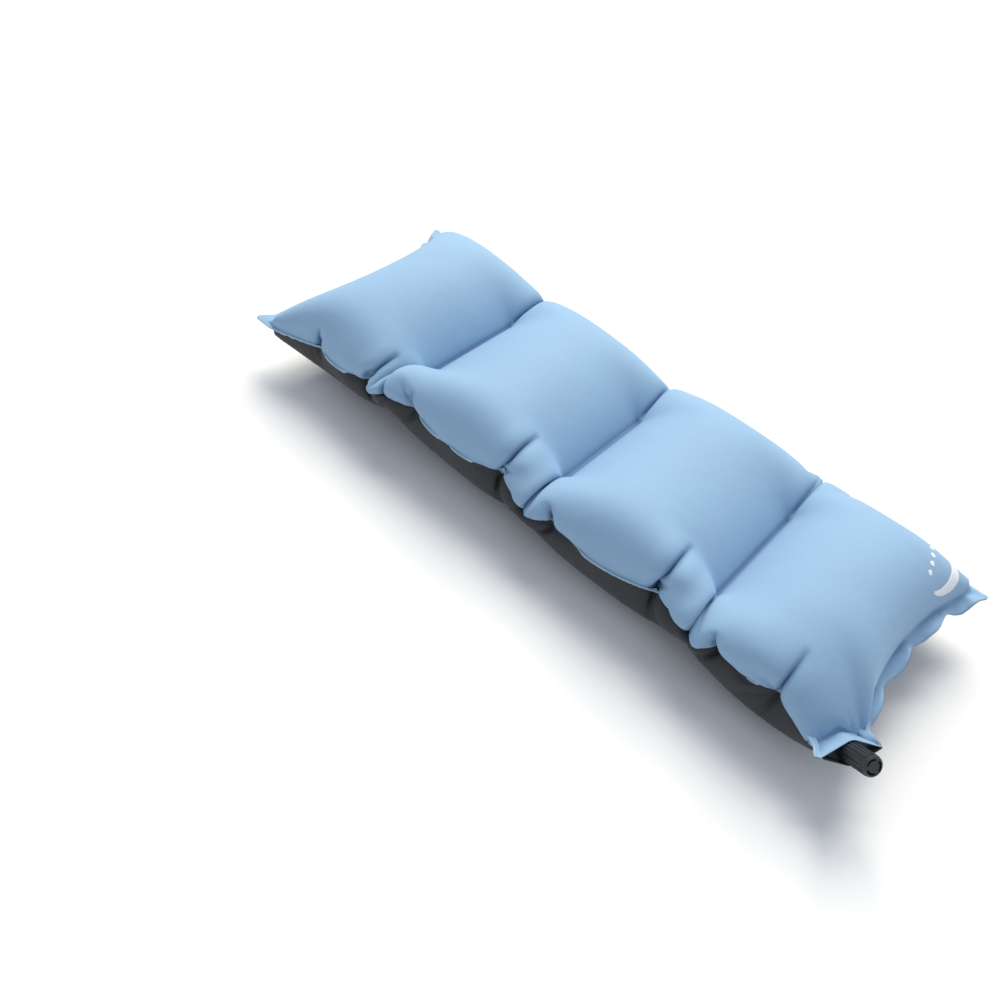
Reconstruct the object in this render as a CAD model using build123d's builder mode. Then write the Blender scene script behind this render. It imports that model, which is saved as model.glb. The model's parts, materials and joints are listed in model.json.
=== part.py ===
from build123d import *
import math
import os

# Self-inflating camp pillow: two fabric sheets welded together around their edge and along
# three cross welds, an open-cell foam block in each of the four chambers, and a twist valve
# welded into one cut-off corner. Millimetres, +Z up. The origin is under the middle of the
# pillow, on the surface that it rests on. +X points to the valve end.

# ---- driving dimensions -------------------------------------------------------------------
pillow_length = 570.0
pillow_width = 214.0
chamber_count = 4
weld_pitch = 142.0
weld_width = 7.0
end_flange = 9.0
side_flange = 3.0
tip_radius = 5.0

seam_height = 43.0
crown_rise = 47.0
belly_drop = 46.0
cover_wall = 0.6
foam_clearance = 0.5
cut_margin = 1.0

passage_width = 40.0
passage_rise = 14.0

corner_cut_x = 27.0
corner_cut_y = 39.0

valve_x = 269.0
valve_y = -90.0
valve_above_seam = 3.0
valve_azimuth = -35.0
valve_tilt = 40.0

# Stations along the valve's axis, counted outwards from the edge of the welded flange.
boat_inner = -15.0
boat_outer = -5.0
boat_width = 36.0
boat_half_height = 6.5
mouth_width = 38.8
mouth_half_height = 7.8
boat_side_room = 4.0
boat_end_room = 6.0
stem_inner_end = -20.0
stem_rim = 15.6
stem_bore_radius = 3.0
stem_radius = 4.6
collar_radius = 6.6
collar_length = 1.0
land_radius = 5.3
groove_radius = 4.15
groove_low = -1.6
groove_high = 0.6
land_length = 1.2
lip_radius = 5.1
lip_length = 1.2

ring_radius = 5.1
ring_section_radius = 0.9

thread_pitch = 4.0
stem_thread_turns = 2.0
cap_thread_turns = 1.0
thread_low = 3.2
thread_root_bite = 0.2
thread_width = 1.4
stem_thread_radius = 5.35
cap_thread_radius = 4.85

seal_radius = 4.4
seal_thickness = 1.5
seal_gap = 0.05
seal_post_radius = 1.2
seal_post_length = 1.2
seal_post_clearance = 0.1
seal_ledge = 1.0

cap_low = -3.5
cap_high = 21.0
cap_radius = 6.9
cap_rib_height = 0.4
cap_rib_width = 1.1
cap_rib_count = 18
cap_rib_low = -2.0
cap_rib_high = 18.5
cap_end_wall = 1.8
cap_edge_round = 0.8
skirt_bore_radius = 6.05
skirt_length = 5.9
cap_bore_radius = 5.6
cap_head_radius = 5.9
cap_head_low = 12.5
slot_count = 3
slot_radius = 4.6
slot_width = 1.3
slot_degrees = 72.0

# ---- worked-out places --------------------------------------------------------------------
half_length = pillow_length / 2
seam_half_length = half_length - end_flange
seam_half_width = pillow_width / 2 - side_flange
seam_plane = Plane.XY.offset(seam_height)
ring_station = (groove_low + groove_high) / 2
seal_low = stem_rim + seal_gap
seal_high = seal_low + seal_thickness
post_socket_end = seal_high + seal_post_length + seal_post_clearance

azimuth = math.radians(valve_azimuth)
tilt = math.radians(valve_tilt)
outward = Vector(math.cos(azimuth), math.sin(azimuth), 0)
valve_axis = outward * math.cos(tilt) + Vector(0, 0, math.sin(tilt))
along_cut = Vector(-math.sin(azimuth), math.cos(azimuth), 0)
valve_origin = Vector(valve_x, valve_y, seam_height + valve_above_seam)
# Local X runs along the cut corner, local Y up through the valve, local Z out along its axis.
valve_plane = Plane(origin=valve_origin, x_dir=along_cut, z_dir=valve_axis)
# Half sections of the turned parts are drawn here: X is the radius, Y the station.
turning_plane = Plane(origin=valve_origin, x_dir=along_cut, z_dir=-valve_plane.y_dir)
turning_axis = Axis(valve_origin, valve_axis)

# The cut corner's flat edge, from the long side to the valve end.
cut_start = Vector(half_length - corner_cut_x, -pillow_width / 2, 0)
cut_end = Vector(half_length, -pillow_width / 2 + corner_cut_y, 0)
cut_direction = (cut_end - cut_start).normalized()
cut_normal = Vector(cut_direction.Y, -cut_direction.X, 0)
cut_middle = (cut_start + cut_end) * 0.5 + Vector(0, 0, seam_height)


def chamber_span(index):
    """Low and high X of a chamber's open space, between its welds."""
    low = (index - chamber_count / 2) * weld_pitch + weld_width / 2
    high = (index + 1 - chamber_count / 2) * weld_pitch - weld_width / 2
    if index == 0:
        low = -seam_half_length
    if index == chamber_count - 1:
        high = seam_half_length
    return low, high


def rounded_section(half_width, rise, sign):
    """Closed outline that is flat on the seam and rounded down to it at both sides."""
    shoulder = half_width - rise
    bulge = rise * math.sin(math.pi / 4)
    with BuildSketch() as section:
        with BuildLine():
            ThreePointArc((-half_width, 0), (-shoulder - bulge, sign * bulge), (-shoulder, sign * rise))
            Line((-shoulder, sign * rise), (shoulder, sign * rise))
            ThreePointArc((shoulder, sign * rise), (shoulder + bulge, sign * bulge), (half_width, 0))
            Line((half_width, 0), (-half_width, 0))
        make_face()
    return section.sketch


def half_chamber(index, rise, inset, sign):
    """One chamber above (sign 1) or below (sign -1) the seam, drawn in by inset."""
    low, high = chamber_span(index)
    low, high, rise = low + inset, high - inset, rise - inset
    across = Plane(origin=(0, 0, seam_height), x_dir=(1, 0, 0), z_dir=(0, -1, 0))
    along = Plane(origin=(low, 0, seam_height), x_dir=(0, 1, 0), z_dir=(1, 0, 0))
    with BuildPart() as block:
        with BuildSketch(across):
            with BuildLine():
                ThreePointArc((low, 0), ((low + high) / 2, sign * rise), (high, 0))
                Line((high, 0), (low, 0))
            make_face()
        extrude(amount=pillow_width, both=True)
        with BuildSketch(along):
            add(rounded_section(seam_half_width - inset, rise, sign))
        extrude(amount=high - low, mode=Mode.INTERSECT)
        if index == chamber_count - 1:
            # Round the chamber down to the cut corner that holds the valve.
            reach = pillow_length
            edge = cut_middle - cut_normal * (end_flange + inset + reach)
            corner = Plane(origin=edge, x_dir=cut_normal, z_dir=-cut_direction)
            with BuildSketch(corner):
                add(rounded_section(reach, rise, sign))
            extrude(amount=pillow_length, both=True, mode=Mode.INTERSECT)
    return block.part


def half_passage(side, inset, sign):
    """Air passage past the ends of the cross welds, along one long side."""
    outer = seam_half_width - inset
    inner = seam_half_width - passage_width + inset
    middle = (outer + inner) / 2
    start = (chamber_span(0)[0] + chamber_span(0)[1]) / 2
    plane = Plane(origin=(start, 0, seam_height), x_dir=(0, 1, 0), z_dir=(1, 0, 0))
    with BuildPart() as tube:
        with BuildSketch(plane):
            with BuildLine():
                ThreePointArc(
                    (side * inner, 0),
                    (side * middle, sign * (passage_rise - inset)),
                    (side * outer, 0),
                )
                Line((side * outer, 0), (side * inner, 0))
            make_face()
        extrude(amount=-2 * start)
    return tube.part


def half_envelope(rise, inset, sign):
    """Everything the air fills on one side of the seam, drawn in by inset."""
    with BuildPart() as envelope:
        for index in range(chamber_count):
            add(half_chamber(index, rise, inset, sign))
        for side in (-1, 1):
            add(half_passage(side, inset, sign))
        if sign < 0:
            with BuildSketch(Plane.XY.offset(inset)):
                Rectangle(pillow_length, pillow_width)
            extrude(amount=seam_height, mode=Mode.INTERSECT)
    return envelope.part


def half_lens(width, half_height, sign, low, high):
    """Half of the valve's lens shape, between two stations on its axis."""
    with BuildPart() as lens:
        with BuildSketch(valve_plane.offset(low)):
            with BuildLine():
                ThreePointArc((-width / 2, 0), (0, sign * half_height), (width / 2, 0))
                Line((width / 2, 0), (-width / 2, 0))
            make_face()
        extrude(amount=high - low)
    return lens.part


def flange_sheet(sign):
    """The flat sheet that the welds lie in, with the valve's corner cut off."""
    with BuildPart() as sheet:
        with BuildSketch(seam_plane):
            with BuildLine():
                Polyline(
                    (-half_length, -pillow_width / 2),
                    (cut_start.X, cut_start.Y),
                    (cut_end.X, cut_end.Y),
                    (half_length, pillow_width / 2),
                    (-half_length, pillow_width / 2),
                    close=True,
                )
            make_face()
            tips = vertices().group_by(Axis.Y)[-1]
            tips += vertices().group_by(Axis.X)[0].sort_by(Axis.Y)[:1]
            fillet(tips, radius=tip_radius)
        extrude(amount=sign * cover_wall)
    return sheet.part


def mouth_lenses(margin, sign, low, high):
    """Half of the room between the sheets at the valve: its base's, then its mouth's."""
    boat = half_lens(boat_width + 2 * margin, boat_half_height + margin, sign, low, boat_outer)
    mouth = half_lens(mouth_width + 2 * margin, mouth_half_height + margin, sign, boat_outer - margin, high)
    return boat, mouth


def turned(points):
    """Turn a closed outline of (radius, station) points about the valve's axis."""
    with BuildPart() as body:
        with BuildSketch(turning_plane):
            with BuildLine():
                Polyline(*points, close=True)
            make_face()
        revolve(axis=turning_axis)
    return body.part


def cover(rise, sign):
    """One fabric sheet: chambers, passages, flange and its half of the valve's mouth."""
    sleeve_low = boat_inner - cut_margin
    stem_room = turned([
        (0, stem_inner_end - cut_margin),
        (stem_radius + foam_clearance, stem_inner_end - cut_margin),
        (stem_radius + foam_clearance, boat_inner),
        (0, boat_inner),
    ])
    with BuildPart() as sheet:
        add(flange_sheet(sign))
        add(half_envelope(rise, 0, sign))
        for lens in mouth_lenses(cover_wall, sign, sleeve_low, 0):
            add(lens)
        for lens in mouth_lenses(cover_wall, -sign, sleeve_low, 0):
            add(lens, mode=Mode.SUBTRACT)
        for lens in mouth_lenses(0, sign, sleeve_low, cut_margin):
            add(lens, mode=Mode.SUBTRACT)
        add(stem_room, mode=Mode.SUBTRACT)
        add(half_envelope(crown_rise, cover_wall, 1), mode=Mode.SUBTRACT)
        add(half_envelope(belly_drop, cover_wall, -1), mode=Mode.SUBTRACT)
    return sheet.part


def foam_block(index):
    """Open-cell foam that fills one chamber, clear of its cover."""
    inset = cover_wall + foam_clearance
    with BuildPart() as block:
        add(half_chamber(index, crown_rise, inset, 1))
        add(half_chamber(index, belly_drop, inset, -1))
        with BuildSketch(Plane.XY.offset(inset)):
            Rectangle(pillow_length, pillow_width)
        extrude(amount=seam_height + crown_rise, mode=Mode.INTERSECT)
        if index == chamber_count - 1:
            # Room for the valve's inner end.
            room_width = boat_width + 2 * boat_side_room
            room_half_height = boat_half_height + boat_side_room
            room_low = stem_inner_end - boat_end_room
            for sign in (-1, 1):
                room = half_lens(room_width, room_half_height, sign, room_low, boat_end_room)
                add(room, mode=Mode.SUBTRACT)
    return block.part


def arc_slots():
    """The slots in the cap's end, drawn on the ground plane."""
    with BuildSketch() as slots:
        with PolarLocations(0, slot_count):
            SlotArc(
                CenterArc((0, 0), slot_radius, -slot_degrees / 2, slot_degrees),
                height=slot_width,
            )
    return slots.sketch


def thread_ridge(root_radius, crest_radius, low, turns):
    """A square-ended helical ridge between two radii, starting at a station."""
    middle_radius = (root_radius + crest_radius) / 2
    path = Helix(
        pitch=thread_pitch,
        height=thread_pitch * turns,
        radius=middle_radius,
        center=valve_origin + valve_axis * low,
        direction=valve_axis,
    )
    centre = valve_origin + valve_axis * low
    start = path @ 0
    with BuildPart() as ridge:
        with BuildSketch(Plane(origin=start, x_dir=(start - centre), z_dir=path % 0)):
            Rectangle(abs(crest_radius - root_radius), thread_width)
        sweep(path=path, is_frenet=True)
    return ridge.part


# ---- fabric -------------------------------------------------------------------------------
with BuildPart() as top_cover:
    add(cover(crown_rise, 1))
top_cover.part.label = "top_cover"

with BuildPart() as bottom_cover:
    add(cover(belly_drop, -1))
bottom_cover.part.label = "bottom_cover"

# ---- foam ---------------------------------------------------------------------------------
foam_parts = []
for chamber in range(chamber_count):
    with BuildPart() as foam:
        add(foam_block(chamber))
    foam.part.label = f"foam_block_{chamber + 1}"
    foam_parts.append(foam.part)

# ---- twist valve --------------------------------------------------------------------------
with BuildPart() as valve_stem:
    add(turned([
        (0, stem_inner_end),
        (stem_radius, stem_inner_end),
        (stem_radius, boat_outer),
        (collar_radius, boat_outer),
        (collar_radius, boat_outer + collar_length),
        (stem_radius, boat_outer + collar_length),
        (stem_radius, groove_low - land_length),
        (land_radius, groove_low - land_length),
        (land_radius, groove_low),
        (groove_radius, groove_low),
        (groove_radius, groove_high),
        (land_radius, groove_high),
        (land_radius, groove_high + land_length),
        (stem_radius, groove_high + land_length),
        (stem_radius, stem_rim - lip_length),
        (lip_radius, stem_rim - lip_length),
        (lip_radius, stem_rim),
        (0, stem_rim),
    ]))
    for side in (-1, 1):
        add(half_lens(boat_width, boat_half_height, side, boat_inner, boat_outer))
    add(thread_ridge(stem_radius - thread_root_bite, stem_thread_radius, thread_low, stem_thread_turns))
    add(turned([
        (0, stem_inner_end - cut_margin),
        (stem_bore_radius, stem_inner_end - cut_margin),
        (stem_bore_radius, stem_rim + cut_margin),
        (0, stem_rim + cut_margin),
    ]), mode=Mode.SUBTRACT)
valve_stem.part.label = "valve_stem"

with BuildPart() as stem_o_ring:
    with BuildSketch(turning_plane):
        with Locations((ring_radius, ring_station)):
            Circle(ring_section_radius)
    revolve(axis=turning_axis)
stem_o_ring.part.label = "stem_o_ring"

with BuildPart() as seal_disc:
    add(turned([
        (0, seal_low),
        (seal_radius, seal_low),
        (seal_radius, seal_high),
        (seal_post_radius, seal_high),
        (seal_post_radius, seal_high + seal_post_length),
        (0, seal_high + seal_post_length),
    ]))
seal_disc.part.label = "seal_disc"

with BuildPart() as valve_cap:
    add(turned([
        (skirt_bore_radius, cap_low),
        (cap_radius, cap_low),
        (cap_radius, cap_high - cap_edge_round),
        (cap_radius - cap_edge_round, cap_high),
        (0, cap_high),
        (0, post_socket_end),
        (seal_post_radius + seal_post_clearance, post_socket_end),
        (seal_post_radius + seal_post_clearance, seal_high + seal_gap),
        (seal_radius - seal_ledge, seal_high + seal_gap),
        (seal_radius - seal_ledge, cap_high - cap_end_wall),
        (cap_head_radius, cap_high - cap_end_wall),
        (cap_head_radius, cap_head_low),
        (cap_bore_radius, cap_head_low),
        (cap_bore_radius, cap_low + skirt_length),
        (skirt_bore_radius, cap_low + skirt_length),
    ]))
    # Grip ribs along the outside.
    with BuildSketch(valve_plane.offset(cap_rib_low)):
        with PolarLocations(cap_radius, cap_rib_count):
            Rectangle(2 * cap_rib_height, cap_rib_width)
    extrude(amount=cap_rib_high - cap_rib_low)
    # Arc slots in the end, where the air comes out.
    with BuildSketch(valve_plane.offset(cap_high - cap_end_wall / 2)):
        add(arc_slots())
    extrude(amount=cap_end_wall / 2 + cut_margin, both=True, mode=Mode.SUBTRACT)
    # One turn of thread stops under the stem's lip when the cap is fully open.
    cap_thread_low = thread_low + thread_pitch / 2
    cap_thread_root = cap_bore_radius + thread_root_bite
    add(thread_ridge(cap_thread_root, cap_thread_radius, cap_thread_low, cap_thread_turns))
valve_cap.part.label = "valve_cap"

# ---- files --------------------------------------------------------------------------------
os.makedirs("parts", exist_ok=True)
export_step(top_cover.part, "parts/top_cover.step")
export_step(bottom_cover.part, "parts/bottom_cover.step")
for part in foam_parts:
    export_step(part, f"parts/{part.label}.step")
export_step(valve_stem.part, "parts/valve_stem.step")
export_step(stem_o_ring.part, "parts/stem_o_ring.step")
export_step(seal_disc.part, "parts/seal_disc.step")
export_step(valve_cap.part, "parts/valve_cap.step")
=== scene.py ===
import json
import math

import bpy
import numpy as np
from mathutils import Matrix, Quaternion, Vector


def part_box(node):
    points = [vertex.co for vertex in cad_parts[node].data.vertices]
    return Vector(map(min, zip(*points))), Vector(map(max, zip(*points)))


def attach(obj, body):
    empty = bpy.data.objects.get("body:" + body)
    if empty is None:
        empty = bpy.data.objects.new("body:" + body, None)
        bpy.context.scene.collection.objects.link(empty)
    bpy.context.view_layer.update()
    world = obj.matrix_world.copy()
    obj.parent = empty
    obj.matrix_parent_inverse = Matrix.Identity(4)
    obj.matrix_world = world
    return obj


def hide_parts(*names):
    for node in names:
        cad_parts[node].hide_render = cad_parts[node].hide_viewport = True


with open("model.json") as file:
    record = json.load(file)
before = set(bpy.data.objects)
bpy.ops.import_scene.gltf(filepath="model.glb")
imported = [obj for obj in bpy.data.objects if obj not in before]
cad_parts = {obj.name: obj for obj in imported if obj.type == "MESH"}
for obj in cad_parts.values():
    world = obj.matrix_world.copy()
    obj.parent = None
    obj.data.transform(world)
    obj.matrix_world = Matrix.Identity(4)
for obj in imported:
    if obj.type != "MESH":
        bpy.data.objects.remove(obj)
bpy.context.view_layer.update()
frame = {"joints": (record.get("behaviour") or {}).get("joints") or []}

# The looks of a self-inflating camp pillow. Two flat sheets are welded together in a numpy
# cloth solver, blown up over their foam, and dressed with fabric materials. Metres, +X
# towards the valve end, +Z up, as in the CAD frame.

# ---- places from the frame ------------------------------------------------------------------
cap_turn = next(j for j in frame["joints"] if j["name"] == "cap_turn")
valve_place = np.array(cap_turn["pos_m"])
valve_axis = np.array(cap_turn["axis"])
valve_above_seam = 0.003
seam_height = valve_place[2] - valve_above_seam
cover_low, cover_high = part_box("bottom_cover")
pillow_length = cover_high.x - cover_low.x
weld_places = [-0.142, 0.0, 0.142]

# ---- the flat pattern -----------------------------------------------------------------------
flat_length = 0.620
flat_width = 0.232
flat_weld_places = [-0.155, 0.0, 0.155]
flat_weld_half = 0.002
flat_weld_gap = 0.066
end_flange = 0.009
side_flange = 0.0035
tip_radius = 0.006
cut_along = 0.031
cut_across = 0.044
cut_length = math.hypot(cut_along, cut_across)

# The knit gives as it is blown up: rest lengths grow away from the welds.
growth_along = 1.09
growth_across = 1.06
growth_reach = 0.045
# Past the ends of the cross welds nothing pulls the cloth down, so some of it is left over there.
passage_growth = {-1: 0.20, 1: 0.04}
passage_reach = 0.024
passage_start = 0.012
passage_inset = 0.010
start_bump_reach = 0.03
start_bump_height = 0.01

# ---- plan of the blown-up seams -------------------------------------------------------------
# Inward cusps of the long seams, where the creases start. The seam bulges out between them.
near_cusps = [(-0.225, 0.088), (-0.167, 0.085), (-0.118, 0.085), (-0.033, 0.080), (0.021, 0.084),
              (0.109, 0.078), (0.168, 0.082), (0.2125, 0.083)]
far_cusps = [(-0.222, 0.090), (-0.164, 0.089), (-0.118, 0.091), (-0.024, 0.092), (0.024, 0.093),
             (0.120, 0.093), (0.166, 0.092), (0.222, 0.088)]
# A crease runs inwards over the top from each cusp: its length and depth, along the seam.
near_creases = [(0.018, 0.004), (0.046, 0.008), (0.020, 0.005), (0.058, 0.009), (0.022, 0.005),
                (0.062, 0.009), (0.026, 0.006), (0.050, 0.006)]
far_creases = [(0.016, 0.004)] * len(far_cusps)
# Another runs from each end of each weld to the seam.
weld_crease_depth = 0.006
far_weld_crease_depth = 0.004
crease_half_width = 0.0024
crease_shoulder = 0.010
crease_swell = 0.10
under_crease_share = 0.45
# How far the painted shade in a crease or along a weld reaches over the cloth, and how strong it is.
shade_reach = 0.0019
weld_shade = 0.7
# The seam's bulge between two cusps: a share of lobe_bulge that grows with their distance.
seam_steps = 60
lobe_bulge = 0.0085
end_lobe_share = 0.35
least_lobe_share = 0.5
most_lobe_share = 1.15
lobe_share_length = 0.15
corner_y = 0.1035
far_tip_y = 0.109
end_sag = 0.022

# ---- shaping after the solve ----------------------------------------------------------------
smoothing_rounds = 24
smoothing_start = 0.010
smoothing_reach = 0.020
smoothing_pull = 0.7
# The cloth stands fuller past a weld's near end than the solver leaves it.
passage_fill = 0.0065
passage_fill_reach = 0.015
passage_fill_lean = (0.0, -0.3, 0.95)
# The welded tips lie flat.
tip_size = 0.014
tip_scale = 0.92
tip_slant = 0.38
tip_stretch = 0.002
# The near flange turns down beside the cut corner, and the valve end's flange is wavy.
flange_lay_length = 0.030
flange_lay_fade = 0.010
flange_lay = (-0.45, -0.85, -0.25)
fold_count = 5.0
fold_height = 0.0048
fold_tip_fade = 0.03
fold_mouth_fade = 0.02
fold_lean = 0.5

# ---- valve mouth ----------------------------------------------------------------------------
mouth_half_width = 0.022
mouth_radius = 0.0082
mouth_depth = 0.015
mouth_tip_depth = 0.005
mouth_side_room = 1.03

# ---- cloth solver ---------------------------------------------------------------------------
# Grid spacing and number of steps, from coarse to fine.
levels = [(0.0078, 240), (0.0039, 110), (0.00195, 34)]
pressure = 6.4
pressure_rounds = 8
# Share of a spring's error that is taken away when it is too short, when it is too short
# and lies in a weld, and when it is too long. For bending, the first of these is apart.
thread_give = (0.25, 0.5, 1)
shear_give = (0.12, 0.3, 0.6)
bend_give = (0.25, 0.5)
first_bend = 0.12
later_bend = 0.05
first_speed_kept = 0.97
later_speed_kept = 0.9
plan_grip = 0.35
# The underside is held at this depth below the seams: it lies on the floor.
belly = 0.0422

# ---- cloth, foam and print ------------------------------------------------------------------
cover_thickness = 0.0005
top_colour = (0.265, 0.425, 0.605)
top_edge_colour = (0.44, 0.62, 0.76)
# Painted shade: the dark colour mixed into the top cover along its creases and welds.
top_painted_shade_colour = (0.02, 0.08, 0.22)
bottom_colour = (0.043, 0.045, 0.047)
bottom_edge_colour = (0.30, 0.42, 0.54)
# Painted shade: the dark colour mixed into the bottom cover along its creases and welds.
bottom_painted_shade_colour = (0.008, 0.008, 0.009)
knit_pitch = 0.0011
edge_band = 0.0014
foam_clearance = 0.002
foam_edge = 0.005
foam_valve_room = 0.045
print_x = 0.262
print_y = 0.072
print_turn = -62.0
print_size = 0.024
print_thickness = 0.00015
print_dot_pitch = 0.0075
print_dot_radius = 0.0020
print_dot_drop = 0.006

# ---- light ----------------------------------------------------------------------------------
sky_strength = 0.52
sky_colour = (0.94, 1.02, 1.16, 1)
key_place = (-1.0, 1.5, 2.2)
key_size = 1.8
key_watts = 101
key_colour = (1.0, 0.95, 0.85)

# ---- camera and floor -----------------------------------------------------------------------
camera_lens = 34.2
camera_eye = (0.2283, -0.4887, 0.5125)
camera_aim = (-0.0177, -0.0995, 0.0)
camera_roll = 12.5
floor_half = 6


def cut_distance(x, y):
    """Distance from the cut corner's edge, positive inside."""
    from_side = (y + flat_width / 2) * cut_along
    return (from_side - (x - flat_length / 2 + cut_along) * cut_across) / cut_length


def edge_distance(x, y):
    """Distance from the pattern's edge, positive inside."""
    to_end = flat_length / 2 - np.abs(x)
    to_side = flat_width / 2 - np.abs(y)
    corner = np.hypot(np.maximum(tip_radius - to_end, 0), np.maximum(tip_radius - to_side, 0))
    near_tip = (to_end < tip_radius) & (to_side < tip_radius)
    inside = np.where(near_tip, tip_radius - corner, np.minimum(to_end, to_side))
    return np.minimum(inside, cut_distance(x, y))


def seam_distance(x, y):
    """Distance from the inner edge of the welded flange, positive inside."""
    to_end = flat_length / 2 - end_flange - np.abs(x)
    to_side = flat_width / 2 - side_flange - np.abs(y)
    return np.minimum(np.minimum(to_end, to_side), cut_distance(x, y) - end_flange)


def strip_distance(x, y, place):
    """Distance from a cross weld's edge, positive outside it."""
    half_long = flat_width / 2 - flat_weld_gap - flat_weld_half
    return np.hypot(x - place, np.maximum(np.abs(y) - half_long, 0)) - flat_weld_half


def seam_plan(side, cusps):
    """Plan of a long seam: arc lengths from the -X end, and points."""
    ends = [(-pillow_length / 2, corner_y if side < 0 else far_tip_y), (pillow_length / 2, corner_y)]
    knots = [ends[0]] + cusps + [ends[1]]
    share = np.linspace(0, 1, seam_steps, endpoint=False)
    xs = []
    ys = []
    for (x0, y0), (x1, y1) in zip(knots, knots[1:]):
        at_end = (x0, y0) == ends[0] or (x1, y1) == ends[1]
        grown = min(most_lobe_share, least_lobe_share + (x1 - x0) / lobe_share_length)
        bulge = lobe_bulge * (end_lobe_share if at_end else grown)
        xs.append(x0 + (x1 - x0) * share)
        ys.append(y0 + (y1 - y0) * share + 4 * bulge * share * (1 - share))
    x = np.append(np.concatenate(xs), ends[1][0])
    y = np.append(np.concatenate(ys), ends[1][1])
    arc = np.append(0, np.cumsum(np.hypot(np.diff(x), np.diff(y))))
    return arc, x, side * y


def valve_frame():
    """Directions at the valve: outwards, along the cut corner, and up through the mouth."""
    along = np.cross([0, 0, 1], valve_axis)
    along /= np.linalg.norm(along)
    return valve_axis, along, np.cross(valve_axis, along)


def unit_normals(sheets):
    """Outward normals from the live cells round each point."""
    points = sheets.points.astype(float)
    first = points[:, 1:, 1:] - points[:, :-1, :-1]
    second = points[:, :-1, 1:] - points[:, 1:, :-1]
    cell = np.cross(first, second)
    cell[1] *= -1
    alive = sheets.alive
    cell *= (alive[1:, 1:] & alive[:-1, :-1] & alive[:-1, 1:] & alive[1:, :-1])[..., None]
    out = np.zeros_like(points)
    for i in (slice(0, -1), slice(1, None)):
        for j in (slice(0, -1), slice(1, None)):
            out[:, i, j] += cell
    size = np.linalg.norm(out, axis=-1, keepdims=True)
    loose = sheets.normals()
    out = np.where(size > 1e-12, out, loose)
    return out / (np.linalg.norm(out, axis=-1, keepdims=True) + 1e-12)


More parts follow.
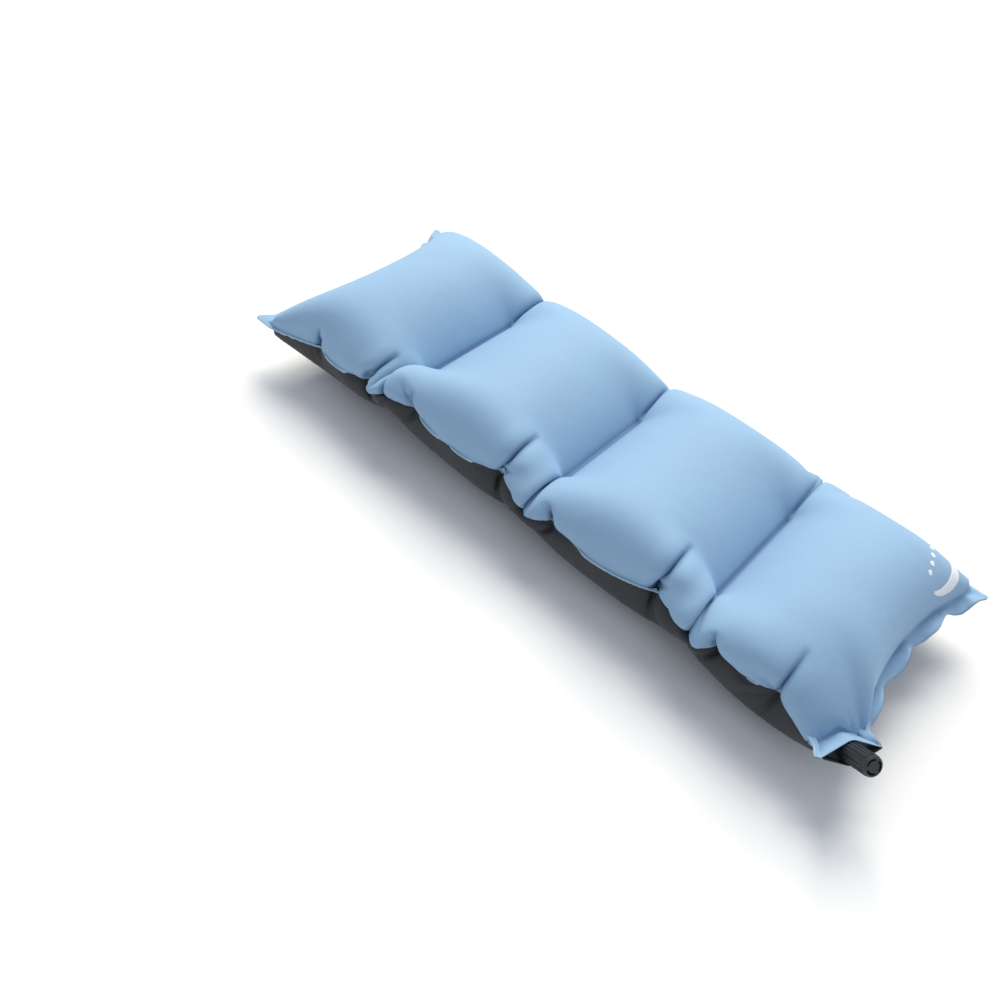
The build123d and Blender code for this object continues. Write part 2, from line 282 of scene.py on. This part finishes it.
class Sheets:
    """Both sheets of the envelope as one grid of points each: index 0 is the top sheet."""

    def __init__(self, spacing, coarser=None):
        self.spacing = spacing
        self.bend = first_bend if coarser is None else later_bend
        across = 2 * round(flat_width / spacing / 2) + 1
        along = 2 * round(flat_length / spacing / 2) + 1
        self.grid_x = np.linspace(-flat_length / 2, flat_length / 2, along)
        self.grid_y = np.linspace(-flat_width / 2, flat_width / 2, across)
        x, y = np.meshgrid(self.grid_x, self.grid_y, indexing="ij")
        self.alive = edge_distance(x, y) > -spacing / 2
        self.x, self.y = self.fitted(x, y)
        self.mark_welds()
        self.mark_mouth()
        self.lay_guides()
        self.points = self.start() if coarser is None else self.refined(coarser)
        self.speed = np.zeros_like(self.points)
        self.links = list(self.make_links())

    def fitted(self, x, y):
        """Moves the points next to the pattern's edge onto it, and those next to the cut's flange."""
        step = 1e-5
        off = edge_distance(x, y)
        slope_x = (edge_distance(x + step, y) - edge_distance(x - step, y)) / (2 * step)
        slope_y = (edge_distance(x, y + step) - edge_distance(x, y - step)) / (2 * step)
        near = np.abs(off) < self.spacing / 2
        x = np.where(near, x - off * slope_x, x)
        y = np.where(near, y - off * slope_y, y)
        off = cut_distance(x, y) - end_flange
        near = (np.abs(off) < self.spacing / 2) & (edge_distance(x, y) > self.spacing * 0.3)
        near &= (x > flat_length / 2 - cut_along * 1.6) & (y < cut_across * 1.6 - flat_width / 2)
        x = np.where(near, x + off * cut_across / cut_length, x)
        y = np.where(near, y - off * cut_along / cut_length, y)
        return x, y

    def mark_welds(self):
        """Which points are welded, and how far the cloth may grow at each of the others."""
        touch = self.spacing * 0.02 + 1e-4
        to_seam = seam_distance(self.x, self.y)
        to_strip = np.min([strip_distance(self.x, self.y, place) for place in flat_weld_places], axis=0)
        self.strip = (to_strip < touch) & self.alive
        self.weld = ((to_seam < touch) | self.strip) & self.alive
        share = np.clip(np.minimum(to_seam, to_strip) / growth_reach, 0, 1)
        self.growth = share * share * (3 - 2 * share)
        past_weld = np.clip((np.abs(self.y) - flat_width / 2 + flat_weld_gap) / passage_start, 0, 1)
        past_weld *= np.clip(to_seam / passage_inset, 0, 1)
        near_weld = sum(np.exp(-((self.x - place) / passage_reach) ** 2) for place in flat_weld_places)
        spare = np.where(self.y < 0, passage_growth[-1], passage_growth[1])
        self.spare = past_weld * near_weld * spare
        share = np.clip(np.minimum(to_seam, to_strip) / start_bump_reach, 0, 1)
        self.start_bump = share * start_bump_height

    def mark_mouth(self):
        """Where the sheets are held round the valve: a tent over its base between the mouth's corners."""
        outward, along, up = valve_frame()
        middle = (flat_length / 2 - cut_along / 2, cut_across / 2 - flat_width / 2)
        dx = self.x - middle[0]
        dy = self.y - middle[1]
        out = (dx * cut_across - dy * cut_along) / cut_length
        side = (dx * cut_along + dy * cut_across) / cut_length
        half_cut = cut_length / 2
        held = np.where(out > -mouth_tip_depth, half_cut * mouth_side_room, mouth_half_width)
        self.mouth = (out > -mouth_depth) & (np.abs(side) < held) & self.alive
        out = out[self.mouth][:, None]
        side = side[self.mouth][:, None] * mouth_half_width / half_cut
        reach = np.abs(side)
        slope = mouth_radius / math.sqrt(mouth_half_width ** 2 - mouth_radius ** 2)
        top = mouth_radius ** 2 / mouth_half_width
        arch = np.sqrt(np.maximum(mouth_radius ** 2 - reach ** 2, 0))
        tent = np.where(reach < top, arch, np.maximum(mouth_half_width - reach, 0) * slope)
        base = valve_place - [0, 0, seam_height] + out * outward + side * along
        self.mouth_points = np.stack([base + tent * up, base - tent * up]).astype(np.float32)

    def lay_guides(self):
        """Where parts of the welds lie in plan: (points, x, y or None)."""
        self.guides = []
        self.cusp_x = {}
        self.end_lines = []
        for side, cusps in ((-1, near_cusps), (1, far_cusps)):
            arc, plan_x, plan_y = seam_plan(side, cusps)
            self.cusp_x[side] = [(np.interp(x, plan_x, arc) / arc[-1] - 0.5) * flat_length for x, _ in cusps]
            off = np.abs(self.y - side * (flat_width / 2 - side_flange))
            line = (off == off.min(axis=1, keepdims=True)) & (off < self.spacing * 0.55) & self.alive
            line &= np.abs(self.x) < flat_length / 2 - end_flange
            if side < 0:
                line &= self.x < flat_length / 2 - cut_along - tip_radius
            at = (self.x[line] / flat_length + 0.5) * arc[-1]
            self.guides.append((line, np.interp(at, arc, plan_x), np.interp(at, arc, plan_y)))
        for flat_place, place in zip(flat_weld_places, weld_places):
            strip = self.strip & (np.abs(self.x - flat_place) < flat_weld_half * 2)
            self.guides.append((strip, place + self.x[strip] - flat_place, None))
        for side in (-1, 1):
            line = (np.abs(self.x * side - (flat_length / 2 - end_flange)) < self.spacing * 0.55) & self.alive
            line &= np.abs(self.y) < flat_width / 2 - side_flange
            if side > 0:
                line &= self.y > cut_across + 0.004 - flat_width / 2
            share = self.y[line] / (flat_width / 2)
            x = side * (pillow_length / 2 - end_flange - end_sag * (1 - share ** 2))
            self.guides.append((line, x, None))
            self.end_lines.append(line)

    def start(self):
        """The flat sheets, a little apart, with a slight unevenness to start from."""
        points = np.zeros((2, *self.x.shape, 3))
        points[..., 0] = self.x * pillow_length / flat_length
        points[..., 1] = self.y * 2 * corner_y / flat_width
        points[0, ..., 2] = self.start_bump
        points[1, ..., 2] = -self.start_bump
        points[..., 2] += np.random.default_rng(3).normal(0, 2e-4, self.x.shape)
        return points.astype(np.float32)

    def refined(self, coarser):
        """This grid's points, taken from a coarser grid."""
        return coarser.sampled(coarser.points, self.grid_x, self.grid_y)

    def sampled(self, values, xs, ys):
        """Values between the grid's points, at rows of flat X and columns of flat Y."""
        u = (xs + flat_length / 2) / flat_length * (len(self.grid_x) - 1)
        v = (ys + flat_width / 2) / flat_width * (len(self.grid_y) - 1)
        i = np.clip(u.astype(int), 0, len(self.grid_x) - 2)
        j = np.clip(v.astype(int), 0, len(self.grid_y) - 2)
        fu = (u - i)[:, None, None]
        fv = (v - j)[None, :, None]
        rows = values[:, i] * (1 - fu) + values[:, i + 1] * fu
        return (rows[:, :, j] * (1 - fv) + rows[:, :, j + 1] * fv).astype(np.float32)

    def make_links(self):
        """Springs between points, in groups that share no point: (a, b, rest length, push, pull)."""
        whole = slice(None)
        for first in (0, 1):
            low = slice(first, -1, 2)
            high = slice(first + 1, None, 2)
            yield self.link((low, whole), (high, whole), *thread_give)
            yield self.link((whole, low), (whole, high), *thread_give)
            for left, right in ((slice(0, -1), slice(1, None)), (slice(1, None), slice(0, -1))):
                yield self.link((low, left), (high, right), *shear_give)
        for first in range(4):
            low = slice(first, -2, 4)
            high = slice(first + 2, None, 4)
            yield self.link((low, whole), (high, whole), self.bend, *bend_give)
            yield self.link((whole, low), (whole, high), self.bend, *bend_give)

    def link(self, a, b, push, weld_push, pull):
        """The springs from the points of a to those of b, cut to the same count."""
        count = [len(range(*s.indices(n))) for s, n in zip(b, self.x.shape)]
        a = tuple(slice(*s.indices(n)) for s, n in zip(a, self.x.shape))
        a = tuple(slice(s.start, s.start + c * s.step, s.step) for s, c in zip(a, count))
        b = tuple(slice(*s.indices(n)) for s, n in zip(b, self.x.shape))
        growth = (self.growth[a] + self.growth[b]) / 2
        spare = (self.spare[a] + self.spare[b]) / 2
        dx = (self.x[b] - self.x[a]) * (1 + (growth_along - 1) * growth + spare)
        dy = (self.y[b] - self.y[a]) * (1 + (growth_across - 1) * growth)
        rest = np.hypot(dx, dy).astype(np.float32)[None]
        both = (self.alive[a] & self.alive[b]) * np.float32(0.5)
        push = np.where(self.weld[a] & self.weld[b], weld_push, push)
        return a, b, rest, (both * push).astype(np.float32)[None], (both * pull).astype(np.float32)[None]

    def normals(self):
        """Area vectors that point out of the envelope."""
        along = np.gradient(self.points, axis=1)
        across = np.gradient(self.points, axis=2)
        out = np.cross(along, across)
        out[1] *= -1
        return out

    def settle(self):
        """Takes every spring towards its rest length, one group after another."""
        for a, b, rest, push, pull in self.links:
            low = self.points[(slice(None), *a)]
            high = self.points[(slice(None), *b)]
            gap = high - low
            length = np.sqrt(np.einsum("kijc,kijc->kij", gap, gap)) + np.float32(1e-9)
            share = (length - rest) / length
            gap *= (share * np.where(share < 0, push, pull))[..., None]
            low += gap
            high -= gap

    def hold(self, share, grip):
        """Welds the sheets, and holds seams to their plan, the mouth to its tent and the belly up."""
        free_weld = self.weld & ~self.mouth
        middle = (self.points[0][free_weld] + self.points[1][free_weld]) / 2
        self.points[:, free_weld] = middle
        for where, x, y in self.guides:
            self.points[:, where, 0] += (x - self.points[:, where, 0]) * grip
            if y is not None:
                self.points[:, where, 1] += (y - self.points[:, where, 1]) * grip
        for line in self.end_lines:
            self.points[:, line, 2] -= self.points[:, line, 2] * grip / 4
        self.points[:, self.mouth] += (self.mouth_points - self.points[:, self.mouth]) * share
        np.maximum(self.points[1, ..., 2], np.float32(-belly), out=self.points[1, ..., 2])
        crossed = np.maximum(self.points[1, ..., 2] - self.points[0, ..., 2], 0) / 2
        self.points[0, ..., 2] += crossed
        self.points[1, ..., 2] -= crossed

    def step(self, share, keep):
        """One step under pressure. keep is the share of the speed that is kept."""
        before = self.points.copy()
        cell = self.grid_x[1] - self.grid_x[0], self.grid_y[1] - self.grid_y[0]
        blow = (self.alive & ~self.weld) * np.float32(pressure * self.spacing ** 2 / (cell[0] * cell[1]))
        self.points += self.speed * np.float32(keep) + self.normals() * blow[..., None]
        grip = np.float32(plan_grip * min(1, share + 0.1))
        for _ in range(pressure_rounds):
            self.settle()
            self.hold(np.float32(share), grip)
        self.points[..., 2] -= self.points[:, self.strip, 2].mean() * np.float32(0.2)
        self.speed = self.points - before


def press_creases(sheets):
    """Presses the creases into the sheets, each along one row of the grid, and paints shade along them and
    along the cross welds.
    """
    sheets.smooth_normals = unit_normals(sheets)
    depth = np.zeros((2, *sheets.x.shape))
    sheets.shade = np.zeros((2, *sheets.x.shape))
    edge = flat_width / 2 - side_flange
    for side, creases in ((-1, near_creases), (1, far_creases)):
        for x, (length, deep) in zip(sheets.cusp_x[side], creases):
            run = (edge - side * sheets.grid_y) / length
            at_seam = np.clip(1 + run * length / side_flange, 0, 1)
            press(sheets, depth, 0, x, deep, at_seam * np.clip(1 - run, 0, 1) ** 0.55)
            press(sheets, depth, 1, x, deep / 2, at_seam * np.clip(1 - run / under_crease_share, 0, 1))
        deep = weld_crease_depth if side < 0 else far_weld_crease_depth
        for x in flat_weld_places:
            run = np.clip((edge - side * sheets.grid_y) / (flat_weld_gap - side_flange), 0, 1)
            press(sheets, depth, 0, x, deep, np.sin(math.pi * run ** 0.7) ** 0.7)
    # Painted shade along the cross welds, strongest on the weld and fading over the cloth beside it.
    to_strip = np.min([strip_distance(sheets.x, sheets.y, place) for place in flat_weld_places], axis=0)
    sheets.shade = np.maximum(sheets.shade, weld_shade * np.exp(-np.maximum(to_strip, 0) / shade_reach))
    sheets.points -= (sheets.smooth_normals * depth[..., None]).astype(np.float32)


def smooth_out(sheets):
    """Takes small ripples out of the middle of the chambers."""
    to_weld = seam_distance(sheets.x, sheets.y)
    for place in flat_weld_places:
        to_weld = np.minimum(to_weld, strip_distance(sheets.x, sheets.y, place))
    share = np.clip((to_weld - smoothing_start) / smoothing_reach, 0, 1)[..., None].astype(np.float32)
    for _ in range(smoothing_rounds):
        middle = sheets.points[:, 1:-1, 1:-1]
        along = sheets.points[:, :-2, 1:-1] + sheets.points[:, 2:, 1:-1]
        across = sheets.points[:, 1:-1, :-2] + sheets.points[:, 1:-1, 2:]
        middle += ((along + across) / 4 - middle) * share[1:-1, 1:-1] * np.float32(smoothing_pull)


def fill_passages(sheets):
    """Swells the top sheet past the near ends of the cross welds."""
    run = (flat_width / 2 - side_flange + sheets.y) / (flat_weld_gap - side_flange)
    swell = np.sin(math.pi * np.clip(run, 0, 1)) * passage_fill
    near = sum(np.exp(-((sheets.x - place) / passage_fill_reach) ** 2) for place in flat_weld_places)
    sheets.points[0] += ((swell * near)[..., None] * np.array(passage_fill_lean)).astype(np.float32)


def flatten_tips(sheets):
    """Lays the three welded tips flat and pointed."""
    for side_x, side_y, reach in ((-1, -1, corner_y), (-1, 1, far_tip_y), (1, 1, corner_y)):
        u = flat_length / 2 - side_x * sheets.x
        v = flat_width / 2 - side_y * sheets.y
        share = np.clip(1.5 - np.maximum(u, v) / tip_size, 0, 1)[..., None]
        place = np.stack([side_x * (pillow_length / 2 + tip_stretch - tip_scale * u - tip_slant * v),
                          side_y * (reach + tip_stretch - tip_scale * v - tip_slant / 2 * u),
                          np.zeros_like(u)], axis=-1)
        sheets.points += ((place - sheets.points) * share).astype(np.float32)


def lay_flange(sheets):
    """Lays the long side's flange down where it meets the cut corner."""
    seam = np.abs(sheets.grid_y + flat_width / 2 - side_flange).argmin()
    share = np.clip((sheets.grid_x - flat_length / 2 + cut_along + flange_lay_length) / flange_lay_fade, 0, 1)
    for column in range(seam):
        off = sheets.grid_y[seam] - sheets.grid_y[column]
        place = sheets.points[:, :, seam] + np.array(flange_lay, np.float32) * off
        pull = (share * ~sheets.mouth[:, column])[None, :, None]
        sheets.points[:, :, column] += ((place - sheets.points[:, :, column]) * pull).astype(np.float32)


def fold_end_flange(sheets):
    """Waves in the loose flange at the valve end."""
    out = np.clip((sheets.x - flat_length / 2 + end_flange) / end_flange, 0, 1)
    clear = np.clip((flat_width / 2 - np.abs(sheets.y)) / fold_tip_fade, 0, 1)
    clear *= np.clip((sheets.y + flat_width / 2 - cut_across) / fold_mouth_fade, 0, 1)
    phase = 2 * math.pi * fold_count * sheets.y / flat_width
    wave = (out * clear * fold_height)[..., None]
    lean = np.stack([fold_lean * np.cos(phase), np.zeros_like(phase), np.sin(phase)], axis=-1)
    sheets.points += (wave * lean).astype(np.float32)


def press(sheets, depth, which, x, deep, fade):
    """Adds a sharp groove along one row, with the cloth swelling a little beside it and painted shade along
    its bottom.
    """
    off = np.abs(sheets.grid_x - sheets.grid_x[np.abs(sheets.grid_x - x).argmin()])
    swell = crease_swell * np.exp(-((off - crease_shoulder) / (crease_shoulder / 2)) ** 2)
    depth[which] += (np.exp(-off / crease_half_width) - swell)[:, None] * deep * fade
    # Painted shade along the groove's bottom, where the crease closes.
    shade = np.exp(-(off / shade_reach) ** 2)[:, None] * np.clip(fade * deep / 0.004, 0, 1)
    sheets.shade[which] = np.maximum(sheets.shade[which], shade)


def blown_up():
    """The envelope after it is blown up, on finer and finer grids."""
    sheets = None
    for spacing, steps in levels:
        first = sheets is None
        sheets = Sheets(spacing, sheets)
        for k in range(steps):
            share = min(1, (k + 1) / (0.5 * steps)) if first else 1
            sheets.step(0.05 + 0.95 * share, first_speed_kept if first else later_speed_kept)
    smooth_out(sheets)
    fill_passages(sheets)
    flatten_tips(sheets)
    lay_flange(sheets)
    fold_end_flange(sheets)
    press_creases(sheets)
    return sheets


# ---- meshes ---------------------------------------------------------------------------------
def new_piece(name, points, faces, material, body="root"):
    """A smooth mesh piece that rides on a body."""
    mesh = bpy.data.meshes.new(name)
    mesh.from_pydata(points.tolist(), [], faces)
    mesh.update()
    mesh.polygons.foreach_set("use_smooth", [True] * len(mesh.polygons))
    mesh.materials.append(material)
    piece = bpy.data.objects.new(name, mesh)
    bpy.context.scene.collection.objects.link(piece)
    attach(piece, body)
    return piece


def shell_faces(alive):
    """Quads of a closed thin shell over the live points: outer layer, inner layer and rim."""
    count = int(alive.sum())
    index = -np.ones(alive.shape, int)
    index[alive] = np.arange(count)
    outer = []
    for i in range(alive.shape[0] - 1):
        for j in range(alive.shape[1] - 1):
            corners = [index[i, j], index[i + 1, j], index[i + 1, j + 1], index[i, j + 1]]
            corners = [int(c) for c in corners if c >= 0]
            if len(corners) > 2:
                outer.append(corners)
    edges = {}
    for face in outer:
        for a, b in zip(face, face[1:] + face[:1]):
            edges[(a, b)] = edges.get((b, a)) is None
            if not edges[(a, b)]:
                edges[(b, a)] = False
    inner = [[c + count for c in reversed(face)] for face in outer]
    rim = [[b, a, a + count, b + count] for (a, b), lone in edges.items() if lone]
    return outer + inner + rim


def cover(sheets, which, name, material):
    """One sheet as a closed thin shell, with its flat pattern as UVs and the painted shade of its creases and
    welds.
    """
    sign = 1 if which == 0 else -1
    middle = sheets.points[which] + [0, 0, seam_height]
    out = unit_normals(sheets)[which]
    layers = [(middle + out * depth)[sheets.alive] for depth in (cover_thickness, 0)]
    faces = shell_faces(sheets.alive)
    if sign < 0:
        faces = [face[::-1] for face in faces]
    piece = new_piece(name, np.concatenate(layers), faces, material)
    flat = np.stack([sheets.x[sheets.alive], sheets.y[sheets.alive]], axis=-1)
    flat = np.concatenate([flat, flat])
    layer = piece.data.uv_layers.new(name="cloth")
    corners = np.zeros(len(piece.data.loops), int)
    piece.data.loops.foreach_get("vertex_index", corners)
    layer.data.foreach_set("uv", flat[corners].ravel().astype(np.float32))
    # Painted shade along the creases and welds, carried to the material as a point attribute.
    shade = sheets.shade[which][sheets.alive]
    attribute = piece.data.attributes.new("shade", "FLOAT", "POINT")
    attribute.data.foreach_set("value", np.concatenate([shade, shade]).astype(np.float32))
    return piece


def print_mark(sheets, material):
    """A generic mark: a crescent and a row of dots, printed on the top sheet near a corner."""
    shapes = [crescent()] + [dot(k * print_dot_pitch, -print_dot_drop) for k in range(-2, 3)]
    turn = math.radians(print_turn)
    out = unit_normals(sheets)[0]
    layers = []
    faces = []
    for u, v in shapes:
        x = (print_x + u * math.cos(turn) - v * math.sin(turn)).ravel()
        y = (print_y + u * math.sin(turn) + v * math.cos(turn)).ravel()
        first = sum(len(layer) for layer in layers)
        faces += [[first + corner for corner in face] for face in shell_faces(np.ones(u.shape, bool))]
        cloth = at_places(sheets, sheets.points[0], x, y) + [0, 0, seam_height]
        up = at_places(sheets, out, x, y)
        layers.append(cloth + up * (cover_thickness + print_thickness))
        layers.append(cloth + up * (cover_thickness - print_thickness))
    return new_piece("printed_mark", np.concatenate(layers), faces, material)


def crescent():
    """A grid of points along a crescent and across it."""
    share = np.linspace(0.0, 1.0, 30)[:, None]
    angle = math.pi * (0.08 + 0.84 * share)
    thickness = print_size * (0.08 + 0.34 * np.sin(math.pi * share))
    radius = print_size - thickness * np.linspace(0.0, 1.0, 8)
    return radius * np.cos(angle), radius * np.sin(angle)


def dot(x, y):
    """A square grid of points drawn out to a disc."""
    v, u = np.meshgrid(np.linspace(-1, 1, 7), np.linspace(-1, 1, 7))
    u, v = u * np.sqrt(1 - v ** 2 / 2), v * np.sqrt(1 - u ** 2 / 2)
    return x + print_dot_radius * u, y + print_dot_radius * v


def at_places(sheets, values, x, y):
    """Values between the grid's points, at scattered places on the flat pattern."""
    u = (x + flat_length / 2) / flat_length * (len(sheets.grid_x) - 1)
    v = (y + flat_width / 2) / flat_width * (len(sheets.grid_y) - 1)
    i = u.astype(int)
    j = v.astype(int)
    fu = (u - i)[:, None]
    fv = (v - j)[:, None]
    low = values[i, j] * (1 - fu) + values[i + 1, j] * fu
    high = values[i, j + 1] * (1 - fu) + values[i + 1, j + 1] * fu
    return low * (1 - fv) + high * fv


def foam(sheets, index, material):
    """One chamber's foam, between both sheets and a little clear of them."""
    x, y = sheets.x, sheets.y
    to_strip = np.min([strip_distance(x, y, place) for place in flat_weld_places], axis=0)
    edges = [-flat_length] + flat_weld_places + [flat_length]
    inside = (x > edges[index] + foam_edge) & (x < edges[index + 1] - foam_edge)
    inside &= (seam_distance(x, y) > foam_edge) & (to_strip > foam_edge)
    inside &= (cut_distance(x, y) > foam_valve_room) & sheets.alive
    inside &= sheets.points[0, ..., 2] - sheets.points[1, ..., 2] > 4 * foam_clearance
    points = sheets.points - sheets.smooth_normals * foam_clearance
    for side in (-1, 1):
        seam = np.abs(sheets.grid_y - side * (flat_width / 2 - side_flange)).argmin()
        wall = side * sheets.points[0, :, seam, 1]
        points[..., 1] = side * np.minimum(side * points[..., 1], wall[None, :, None] - foam_edge)
    layers = [(points[which] + [0, 0, seam_height])[inside] for which in (0, 1)]
    piece = new_piece(f"foam_{index + 1}", np.concatenate(layers), shell_faces(inside), material)
    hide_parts(f"foam_block_{index + 1}")


# ---- materials ------------------------------------------------------------------------------
class Nodes:
    """A node material under construction."""

    def __init__(self, name, **shader):
        self.material = bpy.data.materials.new(name)
        self.material.use_nodes = True
        self.tree = self.material.node_tree
        self.shader = self.tree.nodes["Principled BSDF"]
        for key, value in shader.items():
            self.shader.inputs[key.replace("_", " ")].default_value = value

    def add(self, kind, inputs=(), **settings):
        node = self.tree.nodes.new(kind)
        for key, value in settings.items():
            setattr(node, key, value)
        for key, value in dict(inputs).items():
            if isinstance(value, bpy.types.NodeSocket):
                self.tree.links.new(value, node.inputs[key])
            else:
                node.inputs[key].default_value = value
        return node

    def feed(self, key, socket):
        self.tree.links.new(socket, self.shader.inputs[key])

    def maths(self, operation, a, b=0.0, clamp=False):
        return self.add("ShaderNodeMath", {0: a, 1: b}, operation=operation, use_clamp=clamp).outputs[0]

    def mix(self, share, a, b, blend="MIX"):
        node = self.add("ShaderNodeMix", {0: share, 6: a, 7: b}, data_type="RGBA", blend_type=blend)
        return node.outputs[2]

    def noise(self, place, scale, detail=3.0):
        return self.add("ShaderNodeTexNoise", {"Vector": place, "Scale": scale, "Detail": detail}).outputs[0]


def knit(name, colour, edge_colour, painted_shade_colour, sheen, grain):
    """Stretch knit laminated to film: fine ribs, soft sheen, a paler cut edge and painted shade in the
    creases and along the welds.
    """
    nodes = Nodes(name, Roughness=0.72, Sheen_Weight=sheen, Sheen_Roughness=0.45, IOR=1.4)
    nodes.shader.inputs["Sheen Tint"].default_value = (*[min(1, c * 1.3 + 0.25) for c in colour], 1)
    place = nodes.add("ShaderNodeUVMap", uv_map="cloth").outputs[0]
    split = nodes.add("ShaderNodeSeparateXYZ", {0: place})
    x, y = split.outputs[0], split.outputs[1]
    rib = nodes.maths("SINE", nodes.maths("MULTIPLY", x, 2 * math.pi / knit_pitch))
    course = nodes.maths("SINE", nodes.maths("MULTIPLY", y, 2 * math.pi / knit_pitch))
    weave = nodes.maths("MULTIPLY", rib, course)
    fuzz = nodes.noise(place, 900.0, 4.0)
    height = nodes.maths("ADD", nodes.maths("MULTIPLY", weave, 0.22), fuzz)
    pucker = nodes.noise(place, 70.0, 2.0)
    fine = nodes.add("ShaderNodeBump", {"Strength": grain, "Distance": 0.0002, "Height": height})
    broad = nodes.add("ShaderNodeBump", {"Strength": 0.25, "Distance": 0.0012, "Height": pucker,
                                         "Normal": fine.outputs[0]})
    nodes.feed("Normal", broad.outputs[0])
    patchy = nodes.noise(place, 14.0, 2.0)
    tone = nodes.mix(patchy, (*[c * 0.93 for c in colour], 1), (*[min(1, c * 1.07) for c in colour], 1))
    speck = nodes.maths("ADD", 0.92, nodes.maths("MULTIPLY", fuzz, 0.16))
    tone = nodes.mix(1.0, tone, speck, "MULTIPLY")
    # Painted shade: the crease and weld attribute mixes the cloth towards a dark colour.
    shade = nodes.add("ShaderNodeAttribute", attribute_name="shade", attribute_type="GEOMETRY").outputs["Fac"]
    tone = nodes.mix(shade, tone, (*painted_shade_colour, 1))
    to_edge = nodes.maths("SUBTRACT", flat_width / 2 - edge_band, nodes.maths("ABSOLUTE", y))
    on_edge = nodes.maths("LESS_THAN", to_edge, 0.0)
    nodes.feed("Base Color", nodes.mix(on_edge, tone, (*edge_colour, 1)))
    return nodes.material


def grained(name, colour, roughness, scale, bump, spread=0.25, **shader):
    """A plain material with fine grain in its colour, gloss and height."""
    nodes = Nodes(name, **shader)
    place = nodes.add("ShaderNodeTexCoord").outputs["Object"]
    grain = nodes.noise(place, scale, 4.0)
    broad = nodes.noise(place, scale / 12, 2.0)
    low = (*[c * (1 - spread) for c in colour], 1)
    high = (*[min(1, c * (1 + spread)) for c in colour], 1)
    nodes.feed("Base Color", nodes.mix(broad, low, high))
    nodes.feed("Roughness", nodes.maths("ADD", roughness - 0.08, nodes.maths("MULTIPLY", grain, 0.16)))
    fine = nodes.add("ShaderNodeBump", {"Strength": bump, "Distance": 0.0002, "Height": grain})
    nodes.feed("Normal", fine.outputs[0])
    return nodes.material


def foam_cells():
    """Open cells: rounded pits of mixed sizes, with painted shade that darkens each pit towards its bottom.
    """
    nodes = Nodes("open_cell_foam", Roughness=0.95)
    place = nodes.add("ShaderNodeTexCoord").outputs["Object"]
    cells = nodes.add("ShaderNodeTexVoronoi", {"Vector": place, "Scale": 700.0}).outputs["Distance"]
    pits = nodes.add("ShaderNodeBump", {"Strength": 0.8, "Distance": 0.0008, "Height": cells})
    nodes.feed("Normal", pits.outputs[0])
    # Painted shade: the colour follows the pits' depth, darker at their bottoms.
    nodes.feed("Base Color", nodes.mix(cells, (0.42, 0.38, 0.22, 1), (0.86, 0.82, 0.6, 1)))
    return nodes.material


def paint(node, material):
    """Gives a CAD piece that keeps its shape its finished material."""
    mesh = bpy.data.objects[node].data
    mesh.materials.clear()
    mesh.materials.append(material)


sheets = blown_up()
top_knit = knit("top_knit", top_colour, top_edge_colour, top_painted_shade_colour, 0.30, 0.5)
bottom_knit = knit("bottom_knit", bottom_colour, bottom_edge_colour, bottom_painted_shade_colour, 0.25, 0.6)
top = cover(sheets, 0, "pillow_top", top_knit)
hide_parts("top_cover")
bottom = cover(sheets, 1, "pillow_bottom", bottom_knit)
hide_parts("bottom_cover")
cells = foam_cells()
for chamber in range(4):
    foam(sheets, chamber, cells)
print_mark(sheets, grained("print_ink", (0.80, 0.83, 0.87), 0.55, 1500.0, 0.3, 0.06))
plastic = grained("valve_plastic", (0.030, 0.031, 0.034), 0.33, 1400.0, 0.25)
rubber = grained("seal_rubber", (0.028, 0.027, 0.026), 0.62, 900.0, 0.35)
for node in ("valve_stem", "valve_cap"):
    paint(node, plastic)
for node in ("stem_o_ring", "seal_disc"):
    paint(node, rubber)


# ---- stage ----------------------------------------------------------------------------------
def floor():
    """A plain pale floor under the pillow."""
    mesh = bpy.data.meshes.new("floor")
    corners = [(u * floor_half, v * floor_half, 0) for u, v in ((-1, -1), (1, -1), (1, 1), (-1, 1))]
    mesh.from_pydata(corners, [], [[0, 1, 2, 3]])
    piece = bpy.data.objects.new("floor", mesh)
    bpy.context.scene.collection.objects.link(piece)
    mesh.materials.append(grained("floor_paper", (0.88, 0.88, 0.88), 0.9, 60.0, 0.05, 0.01))


def camera():
    """The photograph's viewing angle."""
    data = bpy.data.cameras.new("camera")
    data.sensor_width = 36
    data.lens = camera_lens
    data.clip_start = 0.01
    eye = Vector((*camera_eye[:2], camera_eye[2] + seam_height))
    aim = Vector((*camera_aim[:2], camera_aim[2] + seam_height))
    roll = math.radians(camera_roll)
    piece = bpy.data.objects.new("camera", data)
    bpy.context.scene.collection.objects.link(piece)
    piece.location = eye
    piece.rotation_mode = "QUATERNION"
    piece.rotation_quaternion = (aim - eye).to_track_quat("-Z", "Y") @ Quaternion((0, 0, 1), roll)
    bpy.context.scene.camera = piece


def lights():
    """A pale sky and one large soft key light."""
    world = bpy.data.worlds.new("studio")
    bpy.context.scene.world = world
    world.use_nodes = True
    world.node_tree.nodes["Background"].inputs["Color"].default_value = sky_colour
    world.node_tree.nodes["Background"].inputs["Strength"].default_value = sky_strength
    data = bpy.data.lights.new("key", "AREA")
    data.energy = key_watts
    data.size = key_size
    data.color = key_colour
    piece = bpy.data.objects.new("key", data)
    bpy.context.scene.collection.objects.link(piece)
    piece.location = key_place
    piece.rotation_mode = "QUATERNION"
    piece.rotation_quaternion = (-piece.location).to_track_quat("-Z", "Y")
    bpy.context.scene.view_settings.view_transform = "Standard"


floor()
camera()
lights()
